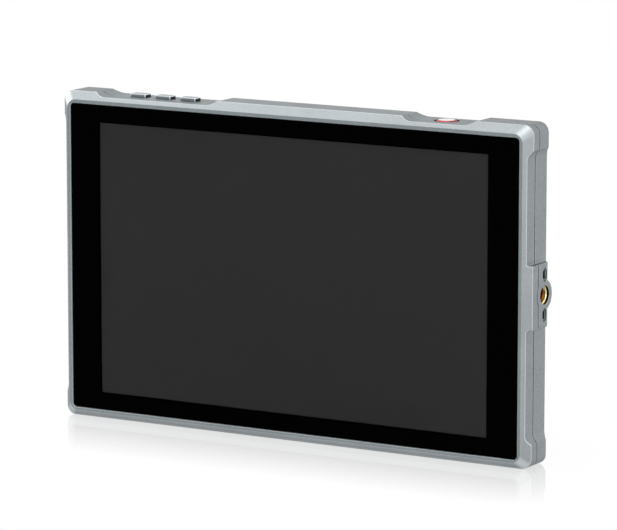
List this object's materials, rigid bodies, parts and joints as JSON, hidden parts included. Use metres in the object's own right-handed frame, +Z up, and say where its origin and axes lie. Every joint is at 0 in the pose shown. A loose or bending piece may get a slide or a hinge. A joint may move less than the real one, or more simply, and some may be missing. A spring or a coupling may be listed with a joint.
{
  "type": "camera field monitor",
  "caption": "Camera field monitor: slim metal case with recessed edges, keys and a power button on top, side and base camera mounts, side sockets and a rear battery plate.",
  "frame": {"origin": "middle of the base, on the surface the monitor stands on, halfway through its whole depth with the battery plate", "axes": "+X to the right seen from the front, +Y from the screen to the back, +Z up"},
  "size_m": [0.1824, 0.025, 0.114],
  "materials": {
    "case_metal": "fine bead-blasted, clear anodised",
    "cover_glass": "glossy, printed black round the picture",
    "black_tape": "matt adhesive film",
    "clear_film": "clear optical adhesive",
    "display_glass": "dark polariser, matt",
    "white_plastic": "moulded, satin",
    "film_white": "white film, soft gloss",
    "clear_plastic": "clear moulded acrylic",
    "led_strip": "white strip with yellow emitters",
    "sheet_steel": "pressed sheet",
    "sheet_metal": "pressed sheet, plain",
    "screw_steel": "black oxide",
    "brass": "turned and tapped",
    "circuit_board": "green solder mask",
    "chip_black": "moulded epoxy",
    "thermal_rubber": "soft silicone pad",
    "can_metal": "drawn can",
    "ribbon_film": "amber film with copper",
    "socket_steel": "folded, nickel plated",
    "black_plastic": "moulded, fine texture",
    "key_metal": "anodised, satin blue-grey",
    "button_metal": "turned, satin",
    "ring_red": "red anodised",
    "battery_plastic": "glass-filled, fine texture",
    "gold_contact": "gold plated",
    "latch_plastic": "moulded, satin",
    "spring_steel": "drawn wire"
  },
  "bodies": {
    "case": {"backlight_frame": "white_plastic", "backlight_tray": "sheet_steel", "base_mount_insert": "brass", "battery_plate": "battery_plastic", "battery_plate_screws": "screw_steel", "board_connectors": "white_plastic", "board_screws": "screw_steel", "board_standoffs": "brass", "bonding_film": "clear_film", "button_board_screws": "screw_steel", "capacitors": "can_metal", "case_screws": "screw_steel", "chassis_plate": "sheet_metal", "chassis_screws": "screw_steel", "contact_blades": "gold_contact", "contact_block": "battery_plastic", "contact_board": "circuit_board", "cover_glass": "cover_glass", "display_panel": "display_glass", "front_frame": "case_metal", "glass_tape": "black_tape", "headphone_socket": "black_plastic", "insulating_sheet": "black_tape", "key_board": "circuit_board", "key_ribbon": "ribbon_film", "key_switches": "black_plastic", "latch_spring": "spring_steel", "led_bar": "led_strip", "light_guide": "clear_plastic", "main_board": "circuit_board", "memory_chips": "chip_black", "optical_films": "film_white", "oval_socket": "socket_steel", "panel_ribbon": "ribbon_film", "port_panel": "black_plastic", "power_board": "circuit_board", "power_header": "white_plastic", "power_inductors": "chip_black", "power_ribbon": "ribbon_film", "power_switch": "black_plastic", "rear_shell": "case_metal", "reflector_sheet": "film_white", "side_mount_insert": "brass", "socket_tongues": "black_plastic", "thermal_pad": "thermal_rubber", "video_in_socket": "socket_steel", "video_out_socket": "socket_steel", "video_processor": "chip_black"},
    "left_key": {"left_key": "key_metal", "left_key_plunger": "white_plastic"},
    "middle_key": {"middle_key": "key_metal", "middle_key_plunger": "white_plastic"},
    "right_key": {"right_key": "key_metal", "right_key_plunger": "white_plastic"},
    "power_button": {"power_button": "button_metal", "power_ring": "ring_red", "power_plunger": "white_plastic"},
    "battery_latch": {"battery_latch": "latch_plastic"}
  },
  "joints": [
    {"name": "left_key_press", "type": "slide", "parent": "case", "child": "left_key", "axis": [0, 0, -1], "range_m": [0, 0.0005], "stiffness_N_per_m": 2000, "springref_m": -0.0002},
    {"name": "middle_key_press", "type": "slide", "parent": "case", "child": "middle_key", "axis": [0, 0, -1], "range_m": [0, 0.0005], "stiffness_N_per_m": 2000, "springref_m": -0.0002},
    {"name": "right_key_press", "type": "slide", "parent": "case", "child": "right_key", "axis": [0, 0, -1], "range_m": [0, 0.0005], "stiffness_N_per_m": 2000, "springref_m": -0.0002},
    {"name": "power_button_press", "type": "slide", "parent": "case", "child": "power_button", "axis": [0, 0, -1], "range_m": [0, 0.0005], "stiffness_N_per_m": 2000, "springref_m": -0.0002},
    {"name": "battery_latch_press", "type": "slide", "parent": "case", "child": "battery_latch", "axis": [0, -1, 0], "range_m": [0, 0.0018], "stiffness_N_per_m": 600, "springref_m": -0.001, "deforming": ["latch_spring"]}
  ]
}
